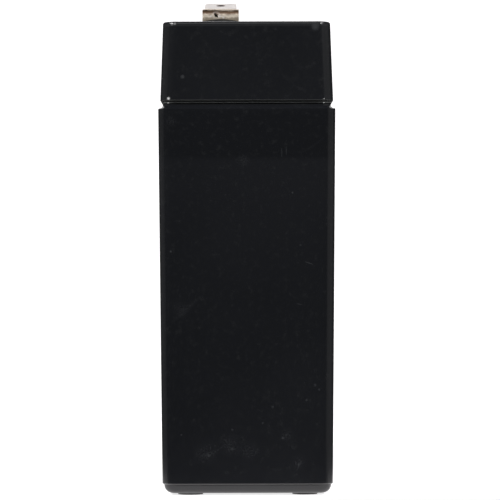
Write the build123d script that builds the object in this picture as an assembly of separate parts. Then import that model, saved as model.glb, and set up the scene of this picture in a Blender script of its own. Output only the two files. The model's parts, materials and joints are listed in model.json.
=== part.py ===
"""A narrow 6 V sealed lead-acid battery for standby power supplies, in millimetres.

The origin is at the middle of the footprint, on the surface that the feet stand on. Z is up,
the length runs along Y and the width along X. The negative terminal is at the -Y end.

The black case is two mouldings: a container with three cells, and a cover cemented to its rim
by a tongue and groove. Each cell holds four positive and five negative plates with folded glass
mats between them. Cast straps join the plates, meet over the partitions and end in two posts,
which pass through rubber rings and resin to the folded tabs on top.
"""

import math
import os

from build123d import *

# Container
case_length = 151.0
case_width = 35.2
case_height = 94.0
case_corner_radius = 2.4
case_draft_angle = 0.5
wall_thickness = 2.0
floor_thickness = 2.3
partition_thickness = 1.6
cell_draft_angle = 0.23
cell_count = 3

# Base
foot_height = 0.4
foot_diameter = 5.05
foot_side_distance = 5.2
plinth_height = 1.8
plinth_inset = 0.35
plinth_edge_radius = 1.7
body_edge_chamfer = 0.2

# Joint between container and cover
neck_inset = 0.9
neck_height = 0.8
neck_root_chamfer = 0.45
neck_corner_radius = 2.4
tongue_corner_radius = 1.2
rim_edge_chamfer = 0.15
cement_gap = 0.1
outer_lip_thickness = 0.6
inner_lip_thickness = 0.9
tongue_height = 2.4
reveal_height = 0.4
reveal_slope_height = 0.35

# Cover
cover_height = 17.2
cover_inset = 0.415
cover_draft_angle = 2.05
cover_corner_radius = 2.9
cover_top_edge_radius = 0.5
cover_top_thickness = 2.0
cover_floor_thickness = 1.5

# Valves, and the strip over them
vent_strip_thickness = 1.6
vent_strip_margin = 3.0
vent_strip_corner_radius = 3.0
vent_strip_sink = 0.2
vent_strip_gap = 0.15
vent_strip_end_distance = 3.8
vent_strip_edge_chamfer = 0.4
vent_notch_diameter = 2.4
valve_trough_width = 11.0
valve_trough_wall = 1.3
valve_stub_diameter = 6.0
valve_stub_height = 4.2
valve_stub_bore = 2.0
valve_cap_wall = 1.1
valve_cap_roof = 0.9
valve_cap_gap = 0.05
hold_down_gap = 0.1

# Plates, separators and straps
positive_plates_per_cell = 4
positive_plate_thickness = 3.0
negative_plate_thickness = 1.9
plate_end_gap = 1.54
stack_gap = 0.05
separator_floor_thickness = 1.05
separator_side_overlap = 1.0
separator_top_overlap = 1.5
lug_length = 6.0
lug_height = 3.3
strap_length = 7.0
strap_height = 3.0
strap_drop = 1.55
strap_side_margin = 0.4
link_width = 8.0
link_height = 2.6
link_gap = 0.1

# Terminal posts, wells, rings and resin
terminal_offset = 5.2
terminal_end_distance = 7.9
post_diameter = 4.4
post_gap = 0.05
post_reach = 1.3
post_foot_width = 6.6
post_foot_height = 1.6
post_slot_depth = 1.6
post_slot_gap = 0.05
terminal_well_diameter = 10.0
terminal_well_depth = 5.6
terminal_well_wall = 1.5
gasket_thickness = 1.2
seal_dome_height = 0.92
seal_dome_steps = 3

# Folded tab
tab_thickness = 0.8
tab_blade_width = 6.35
tab_shoulder_width = 7.3
tab_shoulder_depth = 1.2
tab_leg_width = 4.0
tab_rise = 2.93
tab_bend_radius = 0.5
tab_blade_reach = 7.95
tab_blade_angle = 13.3
tab_tip_chamfer = 0.8
tab_tip_bevel = 0.2
tab_hole_diameter = 1.5
tab_hole_distance = 2.8
tab_mark_length = 1.1
tab_mark_width = 0.34
tab_mark_depth = 0.3
tab_mark_offset = 0.8
tab_mark_drop = 1.15
tab_mark_angle = 34.0

# Levels of the container, from the feet up, and of the joint, from the cover's top down
body_bottom = foot_height + plinth_height
cell_floor = foot_height + floor_thickness
shoulder_height = case_height - cover_height
seam_level = shoulder_height + neck_height
tongue_top = seam_level + tongue_height
reveal_top = seam_level + reveal_height
cover_side_bottom = reveal_top + reveal_slope_height
cover_ceiling = case_height - cover_top_thickness

# Insets of the joint's faces from the case's outline at the shoulder
groove_inset = neck_inset + outer_lip_thickness
tongue_inset = groove_inset + cement_gap

# The cells, at their floor and at the tongue's top
body_rise = shoulder_height - body_bottom
body_draft = body_rise * math.tan(math.radians(case_draft_angle))
cell_rise = tongue_top - cell_floor
cell_draft = cell_rise * math.tan(math.radians(cell_draft_angle))
inside_width = case_width - 2 * (body_draft + wall_thickness)
inside_length = case_length - 2 * (body_draft + wall_thickness)
partition_root = partition_thickness + 2 * cell_draft
cell_length = (inside_length - (cell_count - 1) * partition_root) / cell_count
cell_pitch = cell_length + partition_root
cell_mouth_width = inside_width + 2 * cell_draft
cell_mouth_length = cell_length + 2 * cell_draft

# The plate stack: the mats take up what the plates leave of a cell's width
negative_plates_per_cell = positive_plates_per_cell + 1
stack_width = inside_width - 2 * stack_gap
positive_lead = positive_plates_per_cell * positive_plate_thickness
negative_lead = negative_plates_per_cell * negative_plate_thickness
separator_count = 2 * positive_plates_per_cell
separator_thickness = (stack_width - positive_lead - negative_lead) / separator_count
plate_pitch = negative_plate_thickness + positive_plate_thickness + 2 * separator_thickness
first_negative_x = (negative_plate_thickness - stack_width) / 2
first_positive_x = first_negative_x + plate_pitch / 2

# Levels of the straps, from the seam down, and of the plates that reach up to them
strap_top = seam_level - strap_drop
strap_bottom = strap_top - strap_height
plate_top = strap_bottom - lug_height
plate_bottom = cell_floor + separator_floor_thickness
plate_length = cell_length - 2 * plate_end_gap
link_top = seam_level - link_gap
link_bottom = link_top - link_height

# The terminals, placed from the upper end of the cover
cover_rise = case_height - cover_side_bottom
cover_draft = cover_rise * math.tan(math.radians(cover_draft_angle))
cover_end = case_length / 2 - cover_inset - cover_draft
terminal_y = cover_end - terminal_end_distance
last_cell_y = (cell_count - 1) / 2 * cell_pitch
lug_offset = terminal_y - last_cell_y
well_floor = case_height - terminal_well_depth
gasket_top = well_floor + gasket_thickness
post_top = gasket_top + post_reach
leg_bottom = post_top - post_slot_depth

# The vent strip, which ends short of the terminal wells, and the valves in the trough under it
strip_top = case_height - vent_strip_sink
strip_bottom = strip_top - vent_strip_thickness
strip_width = valve_trough_width + 2 * vent_strip_margin
strip_end = terminal_y - terminal_well_diameter / 2 - vent_strip_end_distance
strip_length = 2 * strip_end
valve_cap_height = valve_stub_height + valve_cap_gap + valve_cap_roof
valve_cap_top = strip_bottom - hold_down_gap
trough_floor = valve_cap_top - valve_cap_height
trough_length = strip_length - 2 * vent_strip_margin
valve_pitch = (trough_length - valve_trough_width) / (cell_count - 1)

NEGATIVE, POSITIVE = -1, 1


def cell_y(cell):
    """The Y of a cell's middle; cell 0 is at the negative end."""
    return cell * cell_pitch - last_cell_y


def valve_y(cell):
    """The Y of a cell's valve."""
    return (cell - (cell_count - 1) / 2) * valve_pitch


def partition_ys():
    """The Y of each partition's middle."""
    return [cell_y(cell) + cell_pitch / 2 for cell in range(cell_count - 1)]


def case_outline(inset, level, radius):
    """The case's outline, drawn in by an inset, on a level plane."""
    width = case_width - 2 * inset
    length = case_length - 2 * inset
    return Pos(0, 0, level) * RectangleRounded(width, length, radius)


def case_block(inset, bottom, top, radius):
    """A straight-sided block on the case's outline."""
    return extrude(case_outline(inset, bottom, radius), amount=top - bottom)


def disc(diameter, x, y, bottom, top):
    """An upright cylinder between two levels."""
    return extrude(Pos(x, y, bottom) * Circle(diameter / 2), amount=top - bottom)


def slab(width, length, x, y, bottom, top):
    """An upright box between two levels."""
    return extrude(Pos(x, y, bottom) * Rectangle(width, length), amount=top - bottom)


def cell_prism(shrink, cell, bottom, top):
    """A straight prism on a cell's mouth, drawn in by a gap on every side."""
    width = cell_mouth_width - 2 * shrink
    length = cell_mouth_length - 2 * shrink
    return slab(width, length, 0, cell_y(cell), bottom, top)


def make_container():
    """The container: drafted body on a plinth with feet, shoulder, neck, tongue and cells."""
    shell = make_body() + make_plinth() + make_neck()
    shell += case_block(tongue_inset, seam_level, tongue_top, tongue_corner_radius)
    for cell in range(cell_count):
        shell -= make_cavity(cell)
    for y in partition_ys():
        notch_width = link_width + 2 * link_gap
        shell -= slab(notch_width, 2 * partition_root, 0, y, link_bottom, tongue_top)
    return shell


def make_body():
    """The outside from plinth to shoulder, wider upwards by the draft, with broken edges."""
    outlines = [
        case_outline(body_draft + body_edge_chamfer, body_bottom, case_corner_radius),
        case_outline(body_draft, body_bottom + body_edge_chamfer, case_corner_radius),
        case_outline(0, shoulder_height - rim_edge_chamfer, case_corner_radius),
        case_outline(rim_edge_chamfer, shoulder_height, case_corner_radius),
    ]
    return loft(outlines, ruled=True)


def make_neck():
    """The neck that the cover's lip stands on, sloped out where it meets the shoulder."""
    root_top = shoulder_height + neck_root_chamfer
    outlines = [
        case_outline(neck_inset - neck_root_chamfer, shoulder_height, neck_corner_radius),
        case_outline(neck_inset, root_top, neck_corner_radius),
        case_outline(neck_inset, seam_level, neck_corner_radius),
    ]
    return loft(outlines, ruled=True)


def make_cavity(cell):
    """The room of a cell, wider upwards by its own draft."""
    floor = Pos(0, cell_y(cell), cell_floor) * Rectangle(inside_width, cell_length)
    mouth = Pos(0, cell_y(cell), tongue_top) * Rectangle(cell_mouth_width, cell_mouth_length)
    return loft([floor, mouth], ruled=True)


def make_plinth():
    """The set-in base with its rounded bottom edge and a round foot at each corner."""
    inset = body_draft + plinth_inset
    plinth = case_block(inset, foot_height, body_bottom, case_corner_radius)
    plinth = fillet(plinth.edges().group_by(Axis.Z)[0], plinth_edge_radius)
    foot_x = case_width / 2 - inset - foot_side_distance
    foot_y = case_length / 2 - inset - foot_side_distance
    for x in (-foot_x, foot_x):
        for y in (-foot_y, foot_y):
            plinth += disc(foot_diameter, x, y, 0, body_bottom)
    return plinth


def make_cover():
    """The cover: drafted shell with reveal and groove, head space, wells and vent stubs."""
    shell = make_cover_outside() - make_head_space() - make_groove() - make_vent_recess()
    for sign in (NEGATIVE, POSITIVE):
        x, y = -terminal_offset, sign * terminal_y
        shell -= disc(terminal_well_diameter, x, y, well_floor, case_height)
        shell -= disc(post_diameter + 2 * post_gap, x, y, shoulder_height, well_floor)
    shell -= slab(valve_trough_width, trough_length, 0, 0, trough_floor, strip_bottom)
    for cell in range(cell_count):
        stub_top = trough_floor + valve_stub_height
        shell += disc(valve_stub_diameter, 0, valve_y(cell), trough_floor, stub_top)
        shell -= disc(valve_stub_bore, 0, valve_y(cell), shoulder_height, stub_top)
    return shell


def make_cover_outside():
    """The cover's outside: set-back lip, a slope over it and drafted sides."""
    lip_radius = neck_corner_radius
    outlines = [
        case_outline(neck_inset, seam_level, lip_radius),
        case_outline(neck_inset, reveal_top, lip_radius),
        case_outline(cover_inset, cover_side_bottom, cover_corner_radius),
        case_outline(cover_inset + cover_draft, case_height, cover_corner_radius),
    ]
    outside = loft(outlines, ruled=True)
    return fillet(outside.edges().group_by(Axis.Z)[-1], cover_top_edge_radius)


def make_head_space():
    """The room over the cells, less what hangs into it from the cover's top."""
    space = Part()
    for cell in range(cell_count):
        space += cell_prism(cement_gap + inner_lip_thickness, cell, seam_level, cover_ceiling)
    tray_width = strip_width + 2 * (vent_strip_gap + cover_top_thickness)
    tray_bottom = strip_bottom - cover_top_thickness
    space -= slab(tray_width, 2 * terminal_y, 0, 0, tray_bottom, case_height)
    trough_width = valve_trough_width + 2 * valve_trough_wall
    trough_bottom = trough_floor - cover_floor_thickness
    outer_length = trough_length + 2 * valve_trough_wall
    space -= slab(trough_width, outer_length, 0, 0, trough_bottom, case_height)
    well_outside = terminal_well_diameter + 2 * terminal_well_wall
    well_bottom = well_floor - cover_floor_thickness
    for sign in (NEGATIVE, POSITIVE):
        x, y = -terminal_offset, sign * terminal_y
        space -= slab(well_outside, well_outside, x, y, well_bottom, case_height)
    return space


def make_groove():
    """The groove for the tongue and the partitions, with a plug left in it over each link."""
    groove_top = tongue_top + cement_gap
    groove_radius = tongue_corner_radius + cement_gap
    groove = case_block(groove_inset, seam_level, groove_top, groove_radius)
    for cell in range(cell_count):
        groove -= cell_prism(cement_gap, cell, seam_level, groove_top)
    plug_width = link_width + 2 * link_gap - 2 * cement_gap
    for y in partition_ys():
        groove -= slab(plug_width, 2 * partition_root, 0, y, seam_level, groove_top)
    return groove


def make_vent_recess():
    """The shallow recess that the vent strip lies in."""
    width = strip_width + 2 * vent_strip_gap
    length = strip_length + 2 * vent_strip_gap
    recess = RectangleRounded(width, length, vent_strip_corner_radius + vent_strip_gap)
    return extrude(Pos(0, 0, strip_bottom) * recess, amount=case_height - strip_bottom)


def make_vent_strip():
    """The strip that keeps the valve caps down, with a gas notch at each end."""
    sketch = RectangleRounded(strip_width, strip_length, vent_strip_corner_radius)
    strip = extrude(Pos(0, 0, strip_bottom) * sketch, amount=vent_strip_thickness)
    strip = chamfer(strip.edges().group_by(Axis.Z)[-1], vent_strip_edge_chamfer)
    for end in (-strip_end, strip_end):
        strip -= disc(vent_notch_diameter, 0, end, strip_bottom, strip_top)
    return strip


def make_valve_cap(cell):
    """A rubber cap that stands on the trough's floor, round a vent stub."""
    y = valve_y(cell)
    bore = valve_stub_diameter + 2 * valve_cap_gap
    cap = disc(bore + 2 * valve_cap_wall, 0, y, trough_floor, valve_cap_top)
    return cap - disc(bore, 0, y, trough_floor, valve_cap_top - valve_cap_roof)


def make_plate(x, cell, thickness, polarity):
    """A plate, with the lug of its polarity on top."""
    y = cell_y(cell)
    lug_y = y + polarity * lug_offset
    plate = slab(thickness, plate_length, x, y, plate_bottom, plate_top)
    return plate + slab(thickness, lug_length, x, lug_y, plate_top, strap_bottom)


def make_separator(x, cell):
    """A glass mat folded under a positive plate and up both its faces."""
    y = cell_y(cell)
    width = positive_plate_thickness + 2 * separator_thickness
    length = plate_length + 2 * separator_side_overlap
    top = plate_top + separator_top_overlap
    mat = slab(width, length, x, y, cell_floor, top)
    return mat - slab(positive_plate_thickness, length, x, y, plate_bottom, top)


def make_strap(cell, polarity):
    """A cell's cast strap, with the terminal post or the arm to the next cell's strap."""
    y = cell_y(cell) + polarity * lug_offset
    width = stack_width - 2 * strap_side_margin
    strap = slab(width, strap_length, 0, y, strap_bottom, strap_top)
    end_cell = 0 if polarity == NEGATIVE else cell_count - 1
    if cell == end_cell:
        return strap + make_post(polarity)
    link_y = cell_y(cell) + polarity * cell_pitch / 2
    return strap + slab(link_width, abs(link_y - y), 0, (link_y + y) / 2, link_bottom, link_top)


def make_post(sign):
    """The post from an end strap up into its well, slotted to take the tab's leg."""
    x, y = -terminal_offset, sign * terminal_y
    post = disc(post_diameter, x, y, strap_bottom, post_top)
    post += slab(post_foot_width, post_foot_width, x, y, strap_top, strap_top + post_foot_height)
    slot_width = tab_thickness + 2 * post_slot_gap
    return post - slab(post_diameter, slot_width, x, y, leg_bottom, post_top)


def make_gasket(sign):
    """The rubber ring that covers the well's floor round the post."""
    x, y = -terminal_offset, sign * terminal_y
    ring = disc(terminal_well_diameter, x, y, well_floor, gasket_top)
    return ring - disc(post_diameter + 2 * post_gap, x, y, well_floor, gasket_top)


def make_tab(sign, struck):
    """The folded tab: leg in the post's slot, wide riser and blade rising towards the middle."""
    turn = 90 - tab_blade_angle
    outer_radius = tab_bend_radius + tab_thickness
    middle_radius = tab_bend_radius + tab_thickness / 2
    bend_level = case_height + tab_rise - outer_radius * math.sin(math.radians(turn))
    shoulder_bottom = case_height - tab_shoulder_depth
    leg = slab(tab_leg_width, tab_thickness, 0, 0, leg_bottom, shoulder_bottom)
    riser = slab(tab_shoulder_width, tab_thickness, 0, 0, shoulder_bottom, bend_level)
    bend_axis = Axis((0, middle_radius, bend_level), (-1, 0, 0))
    riser_end = Pos(0, 0, bend_level) * Rectangle(tab_shoulder_width, tab_thickness)
    bend = revolve(riser_end, axis=bend_axis, revolution_arc=turn)
    tab = leg + riser + bend + make_blade(middle_radius, bend_level, turn)
    if struck:
        tab -= make_strike_mark()
    facing = 0 if sign == NEGATIVE else 180
    return Pos(-terminal_offset, sign * terminal_y, 0) * Rot(0, 0, facing) * tab


def make_blade(middle_radius, bend_level, turn):
    """The tab's blade: chamfered and bevelled tip, and the hole that a connector latches in."""
    angle = math.radians(turn)
    root_y = middle_radius * (1 - math.cos(angle))
    root_z = bend_level + middle_radius * math.sin(angle)
    normal = (0, -math.cos(angle), math.sin(angle))
    blade_plane = Plane(origin=(0, root_y, root_z), x_dir=(1, 0, 0), z_dir=normal)
    length = (tab_blade_reach - tab_thickness / 2 - root_y) / math.sin(angle)
    with BuildSketch() as outline:
        with Locations((0, length / 2)):
            Rectangle(tab_blade_width, length)
        chamfer(outline.vertices().group_by(Axis.Y)[-1], tab_tip_chamfer)
        with Locations((0, length - tab_hole_distance)):
            Circle(tab_hole_diameter / 2, mode=Mode.SUBTRACT)
    blade = extrude(outline.sketch, amount=tab_thickness / 2, both=True)
    tip_edges = blade.edges().filter_by(Axis.X).group_by(Axis.Y)[-1]
    return blade_plane * chamfer(tip_edges, tab_tip_bevel)


def make_strike_mark():
    """The slanting nick that a tool left in the riser's outer face."""
    level = case_height + tab_rise - tab_mark_drop
    face = Plane(origin=(-tab_mark_offset, -tab_thickness / 2, level), z_dir=(0, -1, 0), x_dir=(1, 0, 0))
    nick = SlotOverall(tab_mark_length, tab_mark_width, rotation=-tab_mark_angle)
    return extrude(face * nick, amount=-tab_mark_depth)


def make_seal(sign, tab):
    """The resin that fills a well over the ring, round post and tab, and domes over its brim."""
    x, y = -terminal_offset, sign * terminal_y
    brim = terminal_well_diameter / 2
    dome_top = case_height + seal_dome_height
    outline = [(0, gasket_top), (brim, gasket_top)]
    for step in range(seal_dome_steps + 1):
        share = 1 - step / seal_dome_steps
        outline.append((share * brim, dome_top - share**2 * seal_dome_height))
    profile = Plane.XZ * make_face(Polyline(outline, close=True))
    resin = Pos(x, y, 0) * revolve(profile, axis=Axis.Z)
    return resin - disc(post_diameter, x, y, gasket_top, post_top) - tab


def build():
    """Every piece by its name."""
    pieces = {"container": make_container(), "cover": make_cover()}
    pieces["vent_strip"] = make_vent_strip()
    for cell in range(cell_count):
        number = cell + 1
        pieces[f"valve_cap_{number}"] = make_valve_cap(cell)
        for sign, name in ((NEGATIVE, "negative"), (POSITIVE, "positive")):
            pieces[f"strap_{name}_{number}"] = make_strap(cell, sign)
        for i in range(negative_plates_per_cell):
            x = first_negative_x + i * plate_pitch
            plate = make_plate(x, cell, negative_plate_thickness, NEGATIVE)
            pieces[f"plate_negative_{number}_{i + 1}"] = plate
        for i in range(positive_plates_per_cell):
            x = first_positive_x + i * plate_pitch
            plate = make_plate(x, cell, positive_plate_thickness, POSITIVE)
            pieces[f"plate_positive_{number}_{i + 1}"] = plate
            pieces[f"separator_{number}_{i + 1}"] = make_separator(x, cell)
    for sign, name in ((NEGATIVE, "negative"), (POSITIVE, "positive")):
        tab = make_tab(sign, struck=sign == NEGATIVE)
        pieces[f"terminal_tab_{name}"] = tab
        pieces[f"terminal_gasket_{name}"] = make_gasket(sign)
        pieces[f"terminal_seal_{name}"] = make_seal(sign, tab)
    return pieces


os.makedirs("parts", exist_ok=True)
for piece_name, solid in build().items():
    export_step(solid, f"parts/{piece_name}.step")
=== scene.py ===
# %% [markdown]
# # A narrow sealed battery, seen from its end
#
# The object is a black 6 V battery of the kind that stands in backup power supplies. Its shape is
# already made as solids: a container, a cover cemented on it, a folded tab at each end of the top
# and the plates inside. This lesson loads those solids and gives them what solids can't have:
# finishes, the resin's soft dome, the cement line in the joint and the moulded polarity signs.
# All lengths are in metres, and a helper turns millimetres into them.

import json
import math

import bpy
from mathutils import Matrix, Vector

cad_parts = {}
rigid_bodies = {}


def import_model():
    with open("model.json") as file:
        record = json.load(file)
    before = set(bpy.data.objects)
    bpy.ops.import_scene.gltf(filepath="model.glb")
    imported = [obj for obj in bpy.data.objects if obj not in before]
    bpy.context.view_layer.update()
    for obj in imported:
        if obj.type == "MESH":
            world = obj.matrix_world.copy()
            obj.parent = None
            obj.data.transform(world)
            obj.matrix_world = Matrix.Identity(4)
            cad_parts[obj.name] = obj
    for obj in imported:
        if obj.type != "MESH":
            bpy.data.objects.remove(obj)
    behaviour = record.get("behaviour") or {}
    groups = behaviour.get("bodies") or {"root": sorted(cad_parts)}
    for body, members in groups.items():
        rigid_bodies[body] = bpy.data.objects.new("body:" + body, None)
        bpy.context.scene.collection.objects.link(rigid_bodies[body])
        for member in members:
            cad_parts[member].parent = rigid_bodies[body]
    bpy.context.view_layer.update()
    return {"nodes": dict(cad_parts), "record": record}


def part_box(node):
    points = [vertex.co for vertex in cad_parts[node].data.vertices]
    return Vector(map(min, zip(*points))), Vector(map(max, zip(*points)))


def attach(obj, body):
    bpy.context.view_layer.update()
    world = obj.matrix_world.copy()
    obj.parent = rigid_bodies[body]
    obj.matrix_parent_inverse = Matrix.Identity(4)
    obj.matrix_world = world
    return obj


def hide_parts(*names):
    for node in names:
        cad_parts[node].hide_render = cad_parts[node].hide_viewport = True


for leftover in list(bpy.data.objects):
    bpy.data.objects.remove(leftover)


def mm(value):
    return value / 1000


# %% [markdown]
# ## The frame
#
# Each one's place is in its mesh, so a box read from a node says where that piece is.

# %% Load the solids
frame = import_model()
nodes = frame["nodes"]

# %% Places that the finishes need
case_low, case_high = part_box("container")
cover_low, cover_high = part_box("cover")
tab_low, tab_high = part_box("terminal_tab_negative")
seal_low, seal_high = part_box("terminal_seal_negative")

top_level = cover_high.z
seam_level = cover_low.z
end_face = case_low.y
seal_centre = (seal_low + seal_high) / 2
seal_radius = (seal_high.x - seal_low.x) / 2
print("top, seam and end face at", [round(1000 * v, 2) for v in (top_level, seam_level, end_face)])
print("terminal at", round(1000 * seal_centre.x, 2), round(1000 * seal_centre.y, 2))

# %% [markdown]
# ## Helpers for shader nodes
#
# A finish is a small network of nodes. Writing each node in one line keeps the networks short
# enough to read: `add` makes a node, and sets its inputs from values or links. The helpers after
# it stand for the handful of nodes that every finish uses.


# %% A one-line way to add a node
def add(tree, kind, inputs=None, **settings):
    """A new node. Its inputs are values or the outputs of other nodes."""
    node = tree.nodes.new(kind)
    for name, value in settings.items():
        setattr(node, name, value)
    for key, value in (inputs or {}).items():
        if isinstance(value, bpy.types.NodeSocket):
            tree.links.new(value, node.inputs[key])
        else:
            node.inputs[key].default_value = value
    return node


print("nodes can be added")


# %% Sums on numbers
def math_node(tree, operation, first, second=0.0, third=0.0, clamp=False):
    values = {0: first, 1: second, 2: third}
    node = add(tree, "ShaderNodeMath", values, operation=operation, use_clamp=clamp)
    return node.outputs[0]


def times(tree, first, second):
    return math_node(tree, "MULTIPLY", first, second)


def ramp_between(tree, value, low, high):
    """0 below low and 1 above high, with a soft step between them; low may be the larger."""
    inputs = {"Value": value, "From Min": low, "From Max": high}
    node = add(tree, "ShaderNodeMapRange", inputs, interpolation_type="SMOOTHSTEP")
    return node.outputs["Result"]


print("numbers can be worked with")


# %% Sums on places
def vector_math(tree, operation, first, second=(0, 0, 0)):
    node = add(tree, "ShaderNodeVectorMath", {0: first, 1: second}, operation=operation)
    return node.outputs[0]


def vector_value(tree, operation, first, second=(0, 0, 0)):
    """For the operations that turn places into a number, such as DISTANCE."""
    node = add(tree, "ShaderNodeVectorMath", {0: first, 1: second}, operation=operation)
    return node.outputs["Value"]


def keep_axes(tree, position, kept):
    """The place with each axis kept (1) or dropped (0)."""
    return vector_math(tree, "MULTIPLY", position, kept)


def one_axis(tree, position, axis):
    return add(tree, "ShaderNodeSeparateXYZ", {"Vector": position}).outputs[axis]


def noise(tree, position, scale, detail, roughness=0.5):
    """Soft noise round 0.5. Its scale is in waves for each metre."""
    inputs = {"Vector": position, "Scale": scale, "Detail": detail, "Roughness": roughness}
    return add(tree, "ShaderNodeTexNoise", inputs).outputs["Fac"]


print("places can be worked with")


# %% Colours and layers of colour
def mix_colour(tree, share, first, second):
    node = add(tree, "ShaderNodeMix", data_type="RGBA")
    for key, value in (("Factor_Float", share), ("A_Color", first), ("B_Color", second)):
        socket = next(s for s in node.inputs if s.identifier == key)
        if isinstance(value, bpy.types.NodeSocket):
            tree.links.new(value, socket)
        else:
            socket.default_value = value
    return next(s for s in node.outputs if s.identifier == "Result_Color")


def lay_over(tree, colour, layers):
    """Each layer is a mask, the strength it is laid on with and its tone; later ones cover."""
    for mask, strength, tone in layers:
        colour = mix_colour(tree, times(tree, mask, strength), colour, tone)
    return colour


print("colours can be mixed and layered")


# %% A shader group with named sockets
def new_group(name, inputs, outputs):
    """An empty group. Inputs are name: value, and a value of three numbers makes a vector."""
    group = bpy.data.node_groups.new(name, "ShaderNodeTree")
    for label, value in inputs.items():
        kind = "NodeSocketVector" if isinstance(value, tuple) else "NodeSocketFloat"
        socket = group.interface.new_socket(label, in_out="INPUT", socket_type=kind)
        socket.default_value = value
    for label in outputs:
        group.interface.new_socket(label, in_out="OUTPUT", socket_type="NodeSocketFloat")
    start = group.nodes.new("NodeGroupInput")
    end = group.nodes.new("NodeGroupOutput")
    return group, start.outputs, end.inputs


def use_group(tree, group, **values):
    """The group's outputs. An underline in a value's name stands for the space in a socket's."""
    node = tree.nodes.new("ShaderNodeGroup")
    node.node_tree = group
    for label, value in values.items():
        socket = node.inputs[label.replace("_", " ")]
        if isinstance(value, bpy.types.NodeSocket):
            tree.links.new(value, socket)
        else:
            socket.default_value = value
    return node.outputs


origin = (0.0, 0.0, 0.0)
print("groups can be built")

# %% [markdown]
# ## Effects that several finishes share
#
# Real plastic and metal are never quite even. Four effects cover what the photograph shows:
# a slow waviness of moulded skin, hairline scratches from handling, specks of dust, and one
# single scratch that runs between two chosen points. Each is a group, built once and used with
# other values in each finish. All of them read Object coordinates, so they stay in place.


# %% Waviness of a moulded skin
def build_moulded_skin():
    inputs = {"Position": origin, "Wave Scale": 90.0, "Grain Scale": 4200.0}
    group, start, end = new_group("moulded_skin", inputs, ["Height"])
    waves = noise(group, start["Position"], start["Wave Scale"], 2.0)
    grain = noise(group, start["Position"], start["Grain Scale"], 1.0)
    grain_height = 0.12
    height = math_node(group, "ADD", waves, times(group, grain, grain_height))
    group.links.new(height, end["Height"])
    return group


moulded_skin = build_moulded_skin()
print("group:", moulded_skin.name)


# %% Hairline scratches
def build_hairlines():
    """Cell borders of a bent pattern, shown only where a second noise is high."""
    inputs = {"Position": origin, "Scale": 60.0, "Thinness": 0.02, "Amount": 0.5}
    group, start, end = new_group("hairlines", inputs, ["Mask"])
    bend = {"Vector": start["Position"], "Scale": 45.0, "Detail": 1.0}
    ways = add(group, "ShaderNodeTexNoise", bend).outputs["Color"]
    bent = add(group, "ShaderNodeVectorMath", {0: ways, "Scale": mm(6)}, operation="SCALE")
    moved = vector_math(group, "ADD", start["Position"], bent.outputs[0])
    pattern = {"Vector": moved, "Scale": start["Scale"]}
    borders = add(group, "ShaderNodeTexVoronoi", pattern, feature="DISTANCE_TO_EDGE")
    line = ramp_between(group, borders.outputs["Distance"], start["Thinness"], 0.0)
    where = noise(group, start["Position"], 38.0, 3.0)
    kept = math_node(group, "SUBTRACT", 1.0, start["Amount"])
    shown = math_node(group, "GREATER_THAN", where, kept)
    group.links.new(times(group, line, shown), end["Mask"])
    return group


hairlines = build_hairlines()
print("group:", hairlines.name)


# %% Specks of dust
def build_specks():
    """A dot in the middle of a few cells, picked by the cells' random colour."""
    inputs = {"Position": origin, "Scale": 150.0, "Size": 0.05, "Share": 0.1}
    group, start, end = new_group("specks", inputs, ["Mask"])
    pattern = {"Vector": start["Position"], "Scale": start["Scale"]}
    cells = add(group, "ShaderNodeTexVoronoi", pattern)
    dot = ramp_between(group, cells.outputs["Distance"], start["Size"], 0.0)
    pick = add(group, "ShaderNodeSeparateColor", {"Color": cells.outputs["Color"]})
    few = math_node(group, "LESS_THAN", pick.outputs[0], start["Share"])
    group.links.new(times(group, dot, few), end["Mask"])
    return group


specks = build_specks()
print("group:", specks.name)


# %% One scratch between two points
def build_scratch():
    """The distance to a line from end to end, with a width that tapers off at both ends."""
    inputs = {"Position": origin, "From": origin, "To": (0.0, 0.0, mm(10)), "Width": mm(0.2)}
    group, start, end = new_group("scratch", inputs, ["Mask"])
    along = vector_math(group, "SUBTRACT", start["To"], start["From"])
    offset = vector_math(group, "SUBTRACT", start["Position"], start["From"])
    dot = vector_value(group, "DOT_PRODUCT", offset, along)
    length_squared = vector_value(group, "DOT_PRODUCT", along, along)
    share = math_node(group, "DIVIDE", dot, length_squared, clamp=True)
    foot = add(group, "ShaderNodeVectorMath", {0: along, "Scale": share}, operation="SCALE")
    distance = vector_value(group, "DISTANCE", offset, foot.outputs[0])
    taper = math_node(group, "PINGPONG", share, 0.5)
    end_width = times(group, start["Width"], 0.25)
    width = math_node(group, "MULTIPLY_ADD", taper, start["Width"], end_width)
    group.links.new(ramp_between(group, distance, width, 0.0), end["Mask"])
    return group


scratch = build_scratch()
print("group:", scratch.name)

# %% [markdown]
# ## Marks on the end face
#
# The end face that the photograph shows has marks of its own: one long soft scrape, some short
# scratches, smudges near the foot, specks and two soft lighter spots on the cover. Bright points
# are
# painted on it as well: painted highlights on the cover's upper corners and painted glints at its
# lower corners. An image texture could carry them, but a short list of places does too. It stays
# sharp at any size, and each mark can be moved by hand. Places are in millimetres.

# %% Places of the marks
# A scratch is its two ends, as x and z twice, its width and its strength.
face_scratches = [
    (6.9, 68.7, 6.9, 67.1, 0.3, 0.55),
    (7.8, 69.1, 7.8, 67.5, 0.3, 0.55),
    (11.5, 46.3, 13.0, 45.8, 0.3, 0.8),
    (9.7, 38.0, 10.9, 37.8, 0.3, 0.5),
    (-14.9, 34.4, -9.3, 39.4, 1.3, 0.13),
    (-9.5, 7.7, -7.0, 8.7, 0.7, 0.16),
    (-8.1, 7.5, -5.0, 9.7, 0.7, 0.16),
    (-3.8, 9.1, -2.2, 9.3, 0.6, 0.25),
    (6.5, 11.1, 8.1, 12.3, 0.7, 0.2),
    (9.7, 5.1, 10.7, 6.9, 0.7, 0.2),
]
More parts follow.
